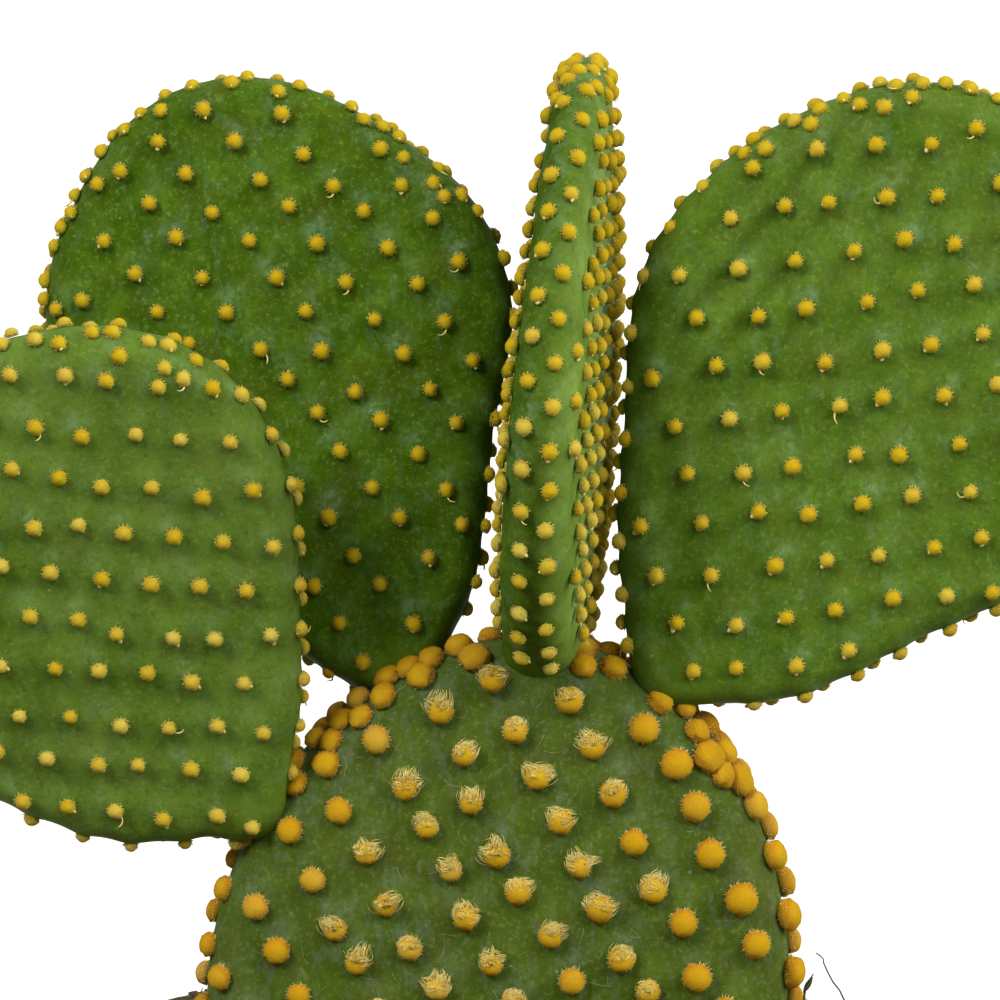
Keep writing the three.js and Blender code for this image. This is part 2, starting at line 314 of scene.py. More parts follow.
def crownPlaces(pad, taken):
    # More tufts crowd round the top of a pad: random places near the edge, each kept if it is crownGap away
    # from every other tuft
    rng = np.random.default_rng(padRules["crownSeed"])
    tries = padRules["crownTries"] * pad["crownCount"]
    angle = np.radians(pad["crownMiddle"] + pad["crownReach"] * rng.uniform(-1, 1, tries))
    along = skinReach(pad, angle) - rng.uniform(*padRules["crownInset"], tries)
    side = np.where(rng.uniform(size=tries) < padRules["crownBack"], 1, -1)
    tried = np.stack([along * np.cos(angle), along * np.sin(angle), side], 1)
    spots, chosen = skinPoint(pad, *taken.T), []
    for place, spot in zip(tried, skinPoint(pad, *tried.T)):
        if len(chosen) < pad["crownCount"] and np.linalg.norm(spots - spot, axis=1).min() > pad["crownGap"]:
            chosen.append(place)
            spots = np.vstack([spots, spot])
    return np.array(chosen).reshape(-1, 3)


def tuftPlaces(name):
    # Every place (u, v, side, crushed) whose tuft is clear of the soil and of the other pads. On the mother
    # pad the tufts that are crushed against the young pads' feet stay too.
    pad = padShapes[name]
    isMother = pad["age"] == "mother"
    places = np.concatenate([facePlaces(pad, -1), facePlaces(pad, 1), rimPlaces(pad)])
    crown = crownPlaces(pad, places)
    places = np.concatenate([places, crown])
    u, v, side = places.T
    tips = toPlant(pad, skinPoint(pad, u, v, side) + skinAxes(pad, u, v, side)[0] * pad["tuftHeight"])
    kept = tips[:, 2] >= padRules["lowestTuft"]
    crushed = np.zeros(len(places))
    crushed[len(places) - len(crown):] = isMother
    for other, shape in padShapes.items():
        if other != name:
            own = toPad(shape, tips)
            crushed[isNear(shape, own, padRules["tuftClearance"] + shape["tuftHeight"])] = 1
            kept &= ~isNear(shape, own, padRules["crushedDepth"])
    if not isMother:
        kept &= crushed == 0
    return np.concatenate([places, crushed[:, None]], 1)[kept]


skinDetail = dict(
    cells=190,                                     # cells across a face's grid
    bumpHeight=dict(mother=0.5, young=0.42),       # the low swelling under each tuft
    bumpReach=dict(mother=2.2, young=1.5),
    bumpAbove=0.5, waxAndHighlightAbove=1.9, shadeBelow=1.7,   # how far from the tuft each one's middle is
    waxAndHighlightReach=1.25, shadeReach=1.3,                 # pale wax and painted highlight above each tuft, painted shade below it
    farthest=7,                                    # nothing reaches farther from a tuft than this
    waveHeight=0.22, waveLength=(18, 45),          # slow unevenness of a whole face
    foldLength=6.5, foldSlant=0.12, foldMiddle=-27, foldReach=13, foldEdge=9,
    footReach=6,                                   # the skin is older this near to a pad's foot
)


def slowWaves(points, seed):
    # A sum of six long sine waves in fixed random directions
    rng = np.random.default_rng(seed)
    total = np.zeros(len(points))
    for length in rng.uniform(*skinDetail["waveLength"], 6):
        direction = unit(rng.normal(size=3))
        total += np.sin(points @ direction * fullTurn / length + rng.uniform(0, 6.28))
    return total * skinDetail["waveHeight"] / 2


def skinGrid(pad):
    # Each face is a square grid laid onto the unrolled skin, ring by ring (side of the square = ring, and the
    # way round it = angle), and the two faces share their outer ring
    n = skinDetail["cells"]
    a, b = np.meshgrid(np.linspace(-1, 1, n + 1), np.linspace(-1, 1, n + 1), indexing="ij")
    flat = np.abs(a) >= np.abs(b)
    safeA, safeB = np.where(a == 0, 1e-12, a), np.where(b == 0, 1e-12, b)
    ring = np.where(flat, a, b)
    way = np.where(flat, np.pi / 4 * b / safeA, np.pi / 2 - np.pi / 4 * a / safeB)
    x, y = (ring * np.cos(way)).ravel(), (ring * np.sin(way)).ravel()
    angle = np.arctan2(y, x)
    along = np.hypot(x, y) * skinReach(pad, angle)
    u, v = along * np.cos(angle), along * np.sin(angle)
    number = np.arange((n + 1) ** 2).reshape(n + 1, n + 1)
    front = np.stack([number[:-1, :-1], number[1:, :-1], number[1:, 1:], number[:-1, 1:]], -1).reshape(-1, 4)
    inner = np.zeros((n + 1, n + 1), bool)
    inner[1:-1, 1:-1] = True
    inner = inner.ravel()
    back = np.where(inner, len(u) + np.cumsum(inner) - 1, np.arange(len(u)))[front[:, ::-1]]
    side = np.concatenate([np.full(len(u), -1.0), np.full(inner.sum(), 1.0)])
    return np.concatenate([u, u[inner]]), np.concatenate([v, v[inner]]), side, [front, back]


def skinPart(pad, places, seed):
    # A round swelling raises the skin at each tuft. Where swellings meet, what is left below each one's top
    # is multiplied, so that they don't add up. Above each tuft is a round spot of wax and painted highlight,
    # and below it one of painted shade.
    detail = skinDetail
    height, reach = detail["bumpHeight"][pad["age"]], detail["bumpReach"][pad["age"]]
    scale = reach / detail["bumpReach"]["young"]
    u, v, side, faces = skinGrid(pad)
    points = skinPoint(pad, u, v, side)
    roots = skinPoint(pad, *places[:, :3].T)
    _, rootUp, rootSide = skinAxes(pad, *places[:, :3].T)
    rng = np.random.default_rng(seed)
    waxAndHighlightGain = rng.uniform(0.1, 1, len(places)) ** 1.5
    waxAndHighlightShift = rng.normal(0, 0.5, (len(places), 2))

    def spot(gap, size):
        return np.exp(-np.sum(gap ** 2, 1) / (2 * size ** 2))

    level, waxAndHighlight, shade = np.ones(len(u)), np.zeros(len(u)), np.zeros(len(u))
    for root, rise, across, gain, shift in zip(roots, rootUp, rootSide, waxAndHighlightGain, waxAndHighlightShift):
        near = np.abs(points - root).max(1) < detail["farthest"] * scale
        gap = points[near] - root
        level[near] *= 1 - spot(gap - rise * detail["bumpAbove"] * scale, reach)
        patch = gap - rise * (detail["waxAndHighlightAbove"] * scale + shift[0]) - across * shift[1]
        waxAndHighlight[near] += gain * spot(patch, detail["waxAndHighlightReach"] * scale)
        shade[near] += spot(gap + rise * detail["shadeBelow"] * scale, detail["shadeReach"] * scale)
    lift = height * (1 - level) + slowWaves(points, seed + 1)
    along, edge = np.hypot(u, v), skinReach(pad, np.arctan2(v, u))
    if pad["folds"]:
        # Long folds: a sine across the pad that fades out away from the left side and at the edge
        fade = np.exp(-((u - detail["foldMiddle"]) / detail["foldReach"]) ** 2)
        fade = fade * np.clip((edge - along) / detail["foldEdge"], 0, 1)
        lift += pad["folds"] * fade * np.sin(fullTurn * (u - detail["foldSlant"] * v) / detail["foldLength"])
    # The film is pale wax, with painted light where a pad's front and back differ
    values = dict(waxAndHighlight=np.minimum(waxAndHighlight, 1), shade=np.minimum(shade, 1), edge=along / edge,
                  foot=np.clip(1 - points[:, 2] / detail["footReach"], 0, 1),
                  filmAndLight=np.interp(points[:, 1], [-pad["rim"], 0], pad["filmAndLight"]))
    return toPlant(pad, points + skinAxes(pad, u, v, side)[0] * lift[:, None]), faces, values


# Bristle tufts

tuftDetail = dict(
    seed=41,
    rootShare=0.9,                # a tuft stands at this share of its swelling's height
    around=12, rings=6,           # faces of its soft body
    tilts=(-0.4, 1.36),           # the body's lowest and highest ring, as angles up from its widest
    bottom=0.2,                   # the height of its widest ring, as a share
    lean=0.06,
    sizes=(0.9, 1.08), middleSize=0.92, outerSize=1.07,
    growRight=0.003,              # the mother pad's grow this share bigger with each mm to the right
    lumps=0.06, crushedLumps=0.04, crushedWider=(-0.08, 0.16), crushedLower=0.05,
    fan=0.42, fanAngle=1.5,       # how bristles crowd to the sides, and how far down they reach
    fanLoose=0.1, turnLoose=0.15,
    goldenAngle=2.39996,
    rootDepth=0.72,               # a bristle starts at this share of the body's radius
    lengths=(0.55, 1.25),
    bristleStraw=0.5,             # how pale the roots of side bristles are; their tips are all pale
    # Of each age: the body's width, height and roundness, how far it hangs out below, and its bristles
    mother=dict(wide=0.92, tall=0.92, round=0.8, hang=0.05, bristles=140, length=0.25, radius=0.0756),
    young=dict(wide=0.79, tall=0.88, round=1.0, hang=0.22, bristles=72, length=0.154, radius=0.0864),
)
wispDetail = dict(
    share=0.85,                   # share of the mother pad's middle tufts that are ragged
    reach=(26, 52),               # half the width and height of that middle, in mm
    wisps=7, bristles=22,         # pointed wisps in a ragged tuft, and the bristles of each
    length=(0.5, 2.1), tuftLength=(0.55, 1.1), bristleLength=(0.35, 1),
    sweep=1.3, rise=(0.1, 1.25),  # how far wisps turn from straight up, and stand out from the skin
    loose=(0.6, 0.4),             # how far bristles start off their wisp's way, and off its rise
    bend=(0.75, 0.6),             # and how far they bend over to them
    start=(0.8, 0.85, 0.1),       # where they start: shares of the tuft's width and height, and mm
    spread=(0.15, 0.1),
    radius=(0.05, 0.05, 0.04, 0.01),
)
leafDetail = dict(
    share=0.5,                    # young tufts that still carry a dried leaf tip
    curlShare=0.09,               # and those where it is long and curled
    length=(0.4, 0.8), curlLength=(1.2, 2.2), hidden=0.12,
    bend=0.4, curlBend=(1.2, 2.6),
    radius=0.4, curlRadius=0.14, hiddenRadius=0.3,
    loose=0.35, steps=8,
)


def spikes(roots, tips, radius, turn):
    # Three-sided points: a triangle at each root, joined to its tip
    axis = unit(tips - roots)
    helper = np.where(np.abs(axis[..., 2:3]) < 0.8, (0, 0, 1), (1, 0, 0))
    first = unit(np.cross(axis, helper))
    second = np.cross(axis, first)
    angles = turn[..., None] + np.arange(3) * fullTurn / 3
    ring = first[..., None, :] * np.cos(angles)[..., None] + second[..., None, :] * np.sin(angles)[..., None]
    base = roots[..., None, :] + ring * radius[..., None, None]
    points = np.concatenate([base, tips[..., None, :]], -2).reshape(-1, 3)
    start = np.arange(len(points) // 4)[:, None, None] * 4
    corners = np.array([[0, 1, 3], [1, 2, 3], [2, 0, 3], [0, 2, 1]])
    return points, [(start + corners).reshape(-1, 3)]


def tubeWalls(number):
    # Four-sided faces between the rings of tubes, from their points' numbers as (tube, ring, way round)
    turned = np.roll(number, -1, 2)
    return np.stack([number[:, :-1], turned[:, :-1], turned[:, 1:], number[:, 1:]], -1).reshape(-1, 4)


def strands(paths, radius, flatten=1.0, sides=4):
    # Thin tapering strips: at each point of a path, a ring round the path's direction
    along = unit(np.gradient(paths, axis=1))
    helper = np.array([0.31, 0.83, 0.46])
    first = unit(np.cross(along, helper))
    second = np.cross(along, first) * flatten
    angles = np.arange(sides) * fullTurn / sides
    ring = (first[:, :, None] * np.cos(angles)[:, None] + second[:, :, None] * np.sin(angles)[:, None])
    points = paths[:, :, None] + ring * radius[:, :, None, None]
    count, steps = paths.shape[:2]
    number = np.arange(count * steps * sides).reshape(count, steps, sides)
    return points.reshape(-1, 3), [tubeWalls(number), number[:, 0, ::-1], number[:, -1]]


def tuftValues(count, **given):
    # The attributes of a tuft part's points: those given, and nought for the others
    values = dict(dict.fromkeys(("height", "tone", "straw", "leaf", "crushed", "below"), 0), **given)
    return {key: np.broadcast_to(value, count) for key, value in values.items()}


def tuftParts(pad, places, seed):
    # Gives the tufts' bodies and bristles, and then the ragged wisps or the leaf tips
    detail, own = tuftDetail, tuftDetail[pad["age"]]
    isMother = pad["age"] == "mother"
    rng = np.random.default_rng(seed)
    u, v, side, crushed = places.T
    count = len(places)
    outward, upward, sideways = skinAxes(pad, u, v, side)
    rotate = padTurn(pad).T
    lift = skinDetail["bumpHeight"][pad["age"]] * detail["rootShare"]
    roots = toPlant(pad, skinPoint(pad, u, v, side) + outward * lift)
    outward, upward, sideways = outward @ rotate, upward @ rotate, sideways @ rotate
    middle = np.hypot(u / wispDetail["reach"][0], v / wispDetail["reach"][1]) < 1
    size = rng.uniform(*detail["sizes"], count) * pad["plump"]
    if isMother:
        size = size * np.where(middle, detail["middleSize"], detail["outerSize"])
        size = size * (1 + detail["growRight"] * u)
    wide = pad["tuftRadius"] * size
    tall = pad["tuftHeight"] * size * own["tall"]
    tone = np.interp(v, [-pad["length"] / 2, pad["length"] / 2], pad["tone"][::-1])
    tone += rng.uniform(-0.5, 0.5, count)
    wide = wide * (1 + crushed * rng.uniform(*detail["crushedWider"], count))
    tall = tall * (1 - detail["crushedLower"] * crushed)
    ragged = middle & (crushed == 0) & isMother & (rng.uniform(size=count) < wispDetail["share"])

    def place(local, chosen=np.ones(count, bool)):
        # Local (sideways, upward, outward) coordinates of the chosen tufts as points of the plant
        shape = (len(local),) + (1,) * (local.ndim - 2) + (3,)
        axes = [axis[chosen].reshape(shape) for axis in (sideways, upward, outward)]
        return roots[chosen].reshape(shape) + sum(axis * local[..., k, None] for k, axis in enumerate(axes))

    parts = [bodyPart(own, place, wide, tall, tone, crushed, ragged, rng),
             bristlePart(own, place, wide, tall, tone, crushed, rng)]
    if isMother:
        parts.append(raggedPart(place, wide, tall, tone, ragged, rng))
    else:
        parts.append(leafPart(place, wide, tall, tone, rng))
    return parts


def bodyPart(own, place, wide, tall, tone, crushed, ragged, rng):
    # A tuft's soft body is a rounded dome of revolution with lumps: each ring's width is a power of the
    # tilt's cosine and its height follows the sine. Its lower side hangs out, so it is a blunt drop.
    detail = tuftDetail
    around, rings, count = detail["around"], detail["rings"], len(wide)
    tilt = np.linspace(*detail["tilts"], rings)
    turn = np.arange(around) * fullTurn / around
    ringWide = np.cos(tilt) ** own["round"] * own["wide"]
    ringTall = detail["bottom"] + (1 - detail["bottom"]) * np.sin(tilt)
    uneven = detail["lumps"] + detail["crushedLumps"] * crushed[:, None, None]
    lumpy = 1 + uneven * rng.normal(size=(count, rings, around))
    drop = 1 + own["hang"] * np.maximum(0, -np.sin(turn)) ** 3
    local = np.stack([
        ringWide[:, None] * np.cos(turn) * lumpy * wide[:, None, None],
        ringWide[:, None] * np.sin(turn) * drop * lumpy * wide[:, None, None],
        np.broadcast_to(ringTall[:, None], (rings, around)) * tall[:, None, None],
    ], -1)
    local[:, :, :, 1] -= detail["lean"] * local[:, :, :, 2]
    crown = place(np.stack([np.zeros(count), -detail["lean"] * tall, tall], -1)[:, None])
    points = np.concatenate([place(local).reshape(count, -1, 3), crown], 1).reshape(-1, 3)
    number = np.arange(len(points)).reshape(count, -1)
    grid = number[:, :-1].reshape(count, rings, around)
    tops = np.broadcast_to(number[:, -1:], (count, around))
    lid = np.stack([grid[:, -1], np.roll(grid[:, -1], -1, 1), tops], -1).reshape(-1, 3)
    # The lower side is pale, but ragged ones are palest on top instead
    below = np.concatenate([(0.5 - 0.5 * ringWide[:, None] * np.sin(turn)).ravel(), [0.5]])
    below = np.where(ragged[:, None], 1 - 0.4 * below, below)
    height = np.clip(np.concatenate([np.repeat(ringTall, around), [1.0]]), 0, 1)
    each = len(height)
    values = tuftValues(len(points), height=np.tile(height, count), tone=np.repeat(tone, each),
                        crushed=np.repeat(crushed, each), below=below.ravel())
    return points, [tubeWalls(grid), lid, grid[:, 0, ::-1]], values


def bristlePart(own, place, wide, tall, tone, crushed, rng):
    # Short bristles stand out of a tuft in a sunflower order: the k-th one's tilt grows with a root of k, and
    # its turn by the golden angle. Seen from the side they are pale, and from above they are golden.
    detail = tuftDetail
    count, bristles = len(wide), own["bristles"]
    k = np.arange(bristles)
    tilt = ((k + 0.5) / bristles) ** detail["fan"] * detail["fanAngle"]
    tilt = tilt + rng.normal(0, detail["fanLoose"], (count, bristles))
    turn = k * detail["goldenAngle"] + rng.uniform(0, 6.28, (count, 1))
    turn = turn + rng.normal(0, detail["turnLoose"], (count, bristles))
    way = np.stack([np.sin(tilt) * np.cos(turn), np.sin(tilt) * np.sin(turn), np.cos(tilt)], -1)
    surface = way * np.stack([wide, wide, tall], -1)[:, None]
    longer = rng.uniform(*detail["lengths"], (count, bristles, 1)) * own["length"]
    radius = np.full((count, bristles), own["radius"])
    points, faces = spikes(place(surface * detail["rootDepth"]), place(surface + way * longer), radius,
                           rng.uniform(0, 6.28, (count, bristles)))
    slant = np.repeat(np.sin(np.clip(tilt, 0, np.pi / 2)).ravel() ** 3, 4)
    pale = np.tile([detail["bristleStraw"]] * 3 + [1], count * bristles)
    high = np.repeat(np.clip(way[..., 2], 0, 1).ravel(), 4)
    return points, faces, tuftValues(
        len(points), height=np.maximum(high, 0.5 * slant), tone=np.repeat(tone, bristles * 4),
        straw=slant * pale, crushed=np.repeat(crushed, bristles * 4),
        below=np.repeat(0.5 - 0.5 * way[..., 1].ravel(), 4))


def raggedPart(place, wide, tall, tone, ragged, rng):
    # Fine straw-coloured bristles that stand out of an old tuft's upper half. Each starts on the tuft's body
    # in its own direction and bends most of the way over to the direction of its wisp.
    detail = wispDetail
    wide, tall, tone = wide[ragged], tall[ragged], tone[ragged]
    count, wisps, each = len(wide), detail["wisps"], detail["bristles"]
    wispWay = np.pi / 2 + rng.uniform(-detail["sweep"], detail["sweep"], (count, wisps, 1))
    wispRise = rng.uniform(*detail["rise"], (count, wisps, 1))
    reach = rng.uniform(*detail["length"], (count, wisps, 1))
    reach = reach * rng.uniform(*detail["tuftLength"], (count, 1, 1))
    reach = reach * rng.uniform(*detail["bristleLength"], (count, wisps, each))
    way = wispWay + rng.normal(0, detail["loose"][0], (count, wisps, each))
    rise = np.clip(wispRise + rng.normal(0, detail["loose"][1], (count, wisps, each)), 0, 1.5)
    steps = len(detail["radius"])
    t = np.linspace(0, 1, steps)
    way = way[..., None] + detail["bend"][0] * t * (wispWay - way)[..., None]
    rise = rise[..., None] + detail["bend"][1] * t * (wispRise - rise)[..., None]
    wide, tall = wide[:, None, None], tall[:, None, None]
    flat = detail["start"][0] * wide[..., None] + t * (detail["spread"][0] * wide + reach)[..., None]
    high = detail["start"][1] * tall[..., None] + t * (detail["spread"][1] * tall + reach)[..., None]
    x, y = flat * np.cos(rise) * np.cos(way), flat * np.cos(rise) * np.sin(way)
    z = high * np.sin(rise) + detail["start"][2]
    paths = place(np.stack([x, y, z], -1), ragged).reshape(-1, steps, 3)
    radius = np.broadcast_to(np.array(detail["radius"]), (len(paths), steps))
    points, faces = strands(paths, radius, sides=3)
    along = np.tile(np.repeat(t, 3), len(paths))
    return points, faces, tuftValues(
        len(points), height=0.7 + 0.3 * along, straw=0.35 + 0.65 * along, below=0.5,
        tone=np.repeat(tone, wisps * each * steps * 3))


def leafPart(place, wide, tall, tone, rng):
    # The dried tip of the tiny leaf below a tuft: a flat strip that narrows to its end and bends, more if it
    # is long. Tufts without one keep a stub inside their body.
    detail, steps, count = leafDetail, leafDetail["steps"], len(wide)
    has = rng.uniform(size=count) < detail["share"]
    curled = rng.uniform(size=count) < detail["curlShare"]
    reach = np.where(curled, rng.uniform(*detail["curlLength"], count), rng.uniform(*detail["length"], count))
    reach = np.where(has | curled, reach, detail["hidden"])[:, None]
    bend = np.where(curled, rng.uniform(*detail["curlBend"], count), detail["bend"])
    bend = bend * rng.choice([-1, -1, 1], count)
    start = (-np.pi / 2 + rng.normal(0, detail["loose"], count))[:, None]
    t = np.linspace(0, 1, steps)
    heading = start + bend[:, None] * t
    x = 0.5 * wide[:, None] * np.cos(start) + np.cumsum(np.cos(heading), 1) / steps * reach
    y = 0.62 * wide[:, None] * np.sin(start) + np.cumsum(np.sin(heading), 1) / steps * reach
    z = 0.35 * tall[:, None] + reach * (0.35 * t - 0.1 * t ** 2) * np.where(curled, 1, 0.4)[:, None]
    radius = np.where(curled, detail["curlRadius"], detail["radius"])
    radius = radius * np.where(has | curled, 1, detail["hiddenRadius"])
    radius = radius[:, None] * np.sqrt(1 - (t * 0.97) ** 2)
    points, faces = strands(place(np.stack([x, y, z], -1)), radius, flatten=0.6, sides=4)
    along = np.tile(np.repeat(t, 4), count)
    return points, faces, tuftValues(
        len(points), height=0.5, tone=np.repeat(tone, steps * 4), straw=0.6 + 0.4 * along,
        leaf=0.35 + 0.65 * along, below=1)


# Materials of the plant

skinLook = {
    "young": dict(
        leaf="#4b680e", deep="#354f00", waxAndHighlight="#6f8b66", edge="#54671a", shade="#2c4400", olive="#484a05",
        filmAndLight="#8eaa4c", foot="#58701a", fleck="#9fb38a", mottle=4.5, waxAndHighlightShare=0.6, streak=0.12, grainSheen=0.3,
        roughness=(0.48, 0.67)),
    "mother": dict(
        leaf="#4e6217", deep="#3b4d09", waxAndHighlight="#62705a", edge="#4a5a1c", shade="#35470a", olive="#4c4a16",
        filmAndLight="#98a368", foot="#5a5228", fleck="#9fb38a", mottle=6.0, waxAndHighlightShare=0.5, streak=0.3, grainSheen=0.22,
        roughness=(0.58, 0.77)),
}
tuftLook = {
    "young": dict(
        base="#768010", ring="#b0900e", body="#b79a12", tip="#cfc66a", leaf="#dccd84", leafEnd="#c0a868",
        above="#a97e08", pale="#bfb432", crushed="#8c5812", share=(0.5, 0.4)),
    "mother": dict(
        base="#7c6812", ring="#a67208", body="#b38a0c", tip="#ecdc8a", leaf="#e0d6a0", leafEnd="#a8804a",
        above="#a46c06", pale="#c2a228", crushed="#8c5a12", share=(0.45, 0.35)),
}


def skinMaterial(name, look):
    # Living cactus skin: matt and fine-grained, each grain a cell that bulges, clouded with pale wax above
    # the tufts, partly painted highlight, with painted shade below them and olive round the rim; it has a
    # faint soft gloss
    material, tree = newMaterial(name, **{"IOR": 1.4, "Specular IOR Level": 0.05})
    cloud = amount(tree, 1.9, 0.38, 0.62, look["waxAndHighlightShare"], detail=5, rough=0.7)
    inputs = {"Value": amount(tree, 14, rough=0.5), "From Min": 0.3, "From Max": 0.7}
    uneven = addNode(tree, "MapRange", {**inputs, "To Min": 0.4, "To Max": 1.6})
    paint(tree, look["deep"], [
        (look["leaf"], amount(tree, look["mottle"], 0.34, 0.66, detail=5, rough=0.62)),
        (look["olive"], amount(tree, 7, 0.5, 0.68, 0.5, detail=4, rough=0.6)),
        (look["deep"], amount(tree, 1.6, 0.3, 0.7, 0.45, rough=0.6)),
        # Painted shade below each tuft
        (look["shade"], amount(tree, "shade", times=0.4)),
        # Wax above each tuft, partly painted highlight where the swelling's upper side faces the light
        (look["waxAndHighlight"], amount(tree, "waxAndHighlight", times=cloud)),
        # A pale film of wax, partly painted light: the centre pad's front face is painted paler than its back
        (look["filmAndLight"], amount(tree, "filmAndLight", times=uneven)),
        # Loose wax smears between the tufts, 1 to 4 mm long
        (look["waxAndHighlight"], amount(tree, 3.4, 0.56, 0.72, 0.26, detail=5, rough=0.7)),
        # Painted sheen and shade: each grain of the skin is painted a little lighter or darker, as if it
        # caught the light differently
        (look["filmAndLight"], amount(tree, 0.75, 0.5, 0.72, look["grainSheen"], detail=4, rough=0.75)),
        (look["shade"], amount(tree, 1.1, 0.5, 0.3, 0.4, detail=4, rough=0.75)),
        # Rain has drawn the wax out into short upright streaks
        (look["waxAndHighlight"], amount(tree, 1.5, 0.5, 0.7, look["streak"], detail=4, rough=0.65, squeeze=(1, 1, 0.4))),
        (look["edge"], amount(tree, "edge", 0.86, 1.0, 0.25)),
        (look["foot"], amount(tree, "foot", 0.2, 0.95, 0.4)),
        # Dry flecks on the skin, 0.3 mm across and about 7 mm apart
        (look["fleck"], amount(tree, 6.5, 0.045, 0.02, 0.35, cells=True)),
    ])
    # The skin's own grain is under 0.1 mm; it is drawn at 0.32 mm, about two pixels, so that it shows
    relief(tree, [(amount(tree, 0.32, cells=True), 0.35, 0.05), (amount(tree, 1.8, detail=4), 0.5, 0.16)])
    inputs = {"Value": amount(tree, 5), "To Min": look["roughness"][0], "To Max": look["roughness"][1]}
    toShader(tree, "Roughness", addNode(tree, "MapRange", inputs))
    return material


def tuftMaterial(name, look):
    # Barbed bristles of dry horn-like plant fibre, packed into a soft tuft: matt and golden, orange round the
    # sides, straw-coloured at the points, and green with the skin's own light where they stand in it
    material, tree = newMaterial(name, **{"IOR": 1.5, "Specular IOR Level": 0.05, "Roughness": 0.85})
    aboveShare, belowShare = look["share"]
    crushed = amount(tree, "crushed")
    paint(tree, look["base"], [
        (look["ring"], amount(tree, "height", 0.0, 0.4)),
        (look["body"], amount(tree, "height", 0.35, 0.8)),
        # Older, more orange bristles above and younger, paler ones below
        (look["above"], amount(tree, "below", 0.55, 0.0, aboveShare)),
        (look["pale"], amount(tree, "below", 0.5, 1.0, belowShare)),
        (look["tip"], amount(tree, "tone", -0.2, 1.4, 0.55)),
        (look["tip"], amount(tree, 0.35, 0.45, 0.75, 0.07, rough=0.7)),
        (look["tip"], amount(tree, "straw")),
        (look["leaf"], amount(tree, "leaf", 0.1, 0.5)),
        (look["leafEnd"], amount(tree, "leaf", 0.85, 1.0, 0.6)),
        # Where tufts are squeezed together they are brown between lighter lumps
        (look["crushed"], amount(tree, 2.4, 0.3, 0.7, 0.32, detail=4, rough=0.5, times=crushed)),
    ])
    # Bristles are under 0.1 mm thick; their bump is drawn at 0.22 mm so that it shows
    relief(tree, [(amount(tree, 0.22, detail=2, rough=0.6), 0.6, 0.12)])
    return material


def makePads():
    ages = {"mother": "old", "young": "young"}
    skins = {age: skinMaterial(word + "_cactus_skin_grown", skinLook[age]) for age, word in ages.items()}
    bristles = {age: tuftMaterial(word + "_bristles_grown", tuftLook[age]) for age, word in ages.items()}
    for number, (name, pad) in enumerate(padShapes.items()):
        age = pad["age"]
        places = tuftPlaces(name)
        seed = tuftDetail["seed"] + 10 * number
        putMesh(name + "_skin", [skinPart(pad, places, seed)], skins[age], [name])
        parts = tuftParts(pad, places, seed)
        if age == "mother":
            putMesh(name + "_wisps", [parts.pop()], bristles[age])
        putMesh(name + "_tufts", parts, bristles[age])
        print(name, "skin and", len(places), "tufts")


# Fine loose hairs across the mother pad

hairDetail = dict(count=150, steps=10, length=(1.5, 5), radius=0.02, reach=(26, 34), middle=(0, 14),
                  curl=1.6, lift=0.45, arch=0.5, seed=5)


def makeHairs():
    # Shed hairs that lie on the skin: each starts at a random place of a face and bends steadily. Dry plant
    # hair is matt and straw-grey.
    pad, detail = padShapes["pad_mother"], hairDetail
    rng = np.random.default_rng(detail["seed"])
    count, steps = detail["count"], detail["steps"]
    t = np.linspace(0, 1, steps)
    start = rng.uniform(-1, 1, (count, 2)) * detail["reach"] + detail["middle"]
    length = rng.uniform(*detail["length"], count)[:, None]
    heading = rng.uniform(0, 6.28, count)[:, None] + rng.normal(0, detail["curl"], count)[:, None] * t
    u = start[:, :1] + np.cumsum(np.cos(heading), 1) * length / steps
    v = start[:, 1:] + np.cumsum(np.sin(heading), 1) * length / steps
    side = np.where(np.arange(count) % 3 == 0, 1.0, -1.0)[:, None] * np.ones(steps)
    arch = detail["lift"] + detail["arch"] * np.sin(np.pi * t) * rng.uniform(0.2, 1, (count, 1))
    paths = skinPoint(pad, u, v, side) + skinAxes(pad, u, v, side)[0] * arch[..., None]
    radius = np.broadcast_to(detail["radius"] * (1.15 - t), (count, steps))
    points, faces = strands(toPlant(pad, paths), radius, sides=3)
    material, tree = newMaterial("shed_hair_dry", **{"Roughness": 0.6, "IOR": 1.5})
    paint(tree, "#8e8f74", [("#b3ae8c", amount(tree, 4))])
    putMesh("shed_hairs", [(points, faces, {})], material)
    print("shed hairs", count)


# Soil

soilDetail = dict(
    crown=109.4, shoulder=108.8, shoulderRadius=50.5, atWall=101.5, round=1.2, wallGap=0.36,
    foot=7.3, rings=110, around=300,
    roughness=0.55, lumps=[(5, 1, 0.5), (1.9, 2, 0.35), (0.8, 3, 0.2)],    # size, seed and share of each
    mounds=[(-33, 18, 5.5, 3.6), (47, 10, 5.5, 4.8)],      # mossy heaps: x, y, reach and height
    grainReach=53, grainTip=0.4, grainLumps=(0.72, 1.25),
    # Each kind of grain: piece, number, size in mm, squash along X, Y and Z, how far it rises from the soil,
    # and its finish, two colours, roughness and pattern size in mm
    grains=[
        ("soil_crumbs", 1500, (0.35, 1.3), (1, 1, 0.8), 0.25,
         ("peat_crumbs_broken", "#2c2012", "#6f5c3c", 0.95, 1.0)),
        ("perlite", 120, (0.6, 1.5), (1, 1, 0.9), 0.3, ("perlite_expanded", "#b5b0a4", "#e9e6dd", 0.85, 0.6)),
        ("bark_chips", 70, (1.2, 2.8), (1, 0.6, 0.28), 0.5,
         ("pine_bark_chipped", "#3a2415", "#7a5534", 0.85, 0.8)),
    ],
    moss=2600, mossHeight=(0.5, 1.2), mossRadius=0.16, mossLean=0.35, mossReach=52,
    cushions=46, cushionReach=46, cushionSize=2.3, heapCushions=5, heapSize=2.5,
    seed=12,
)
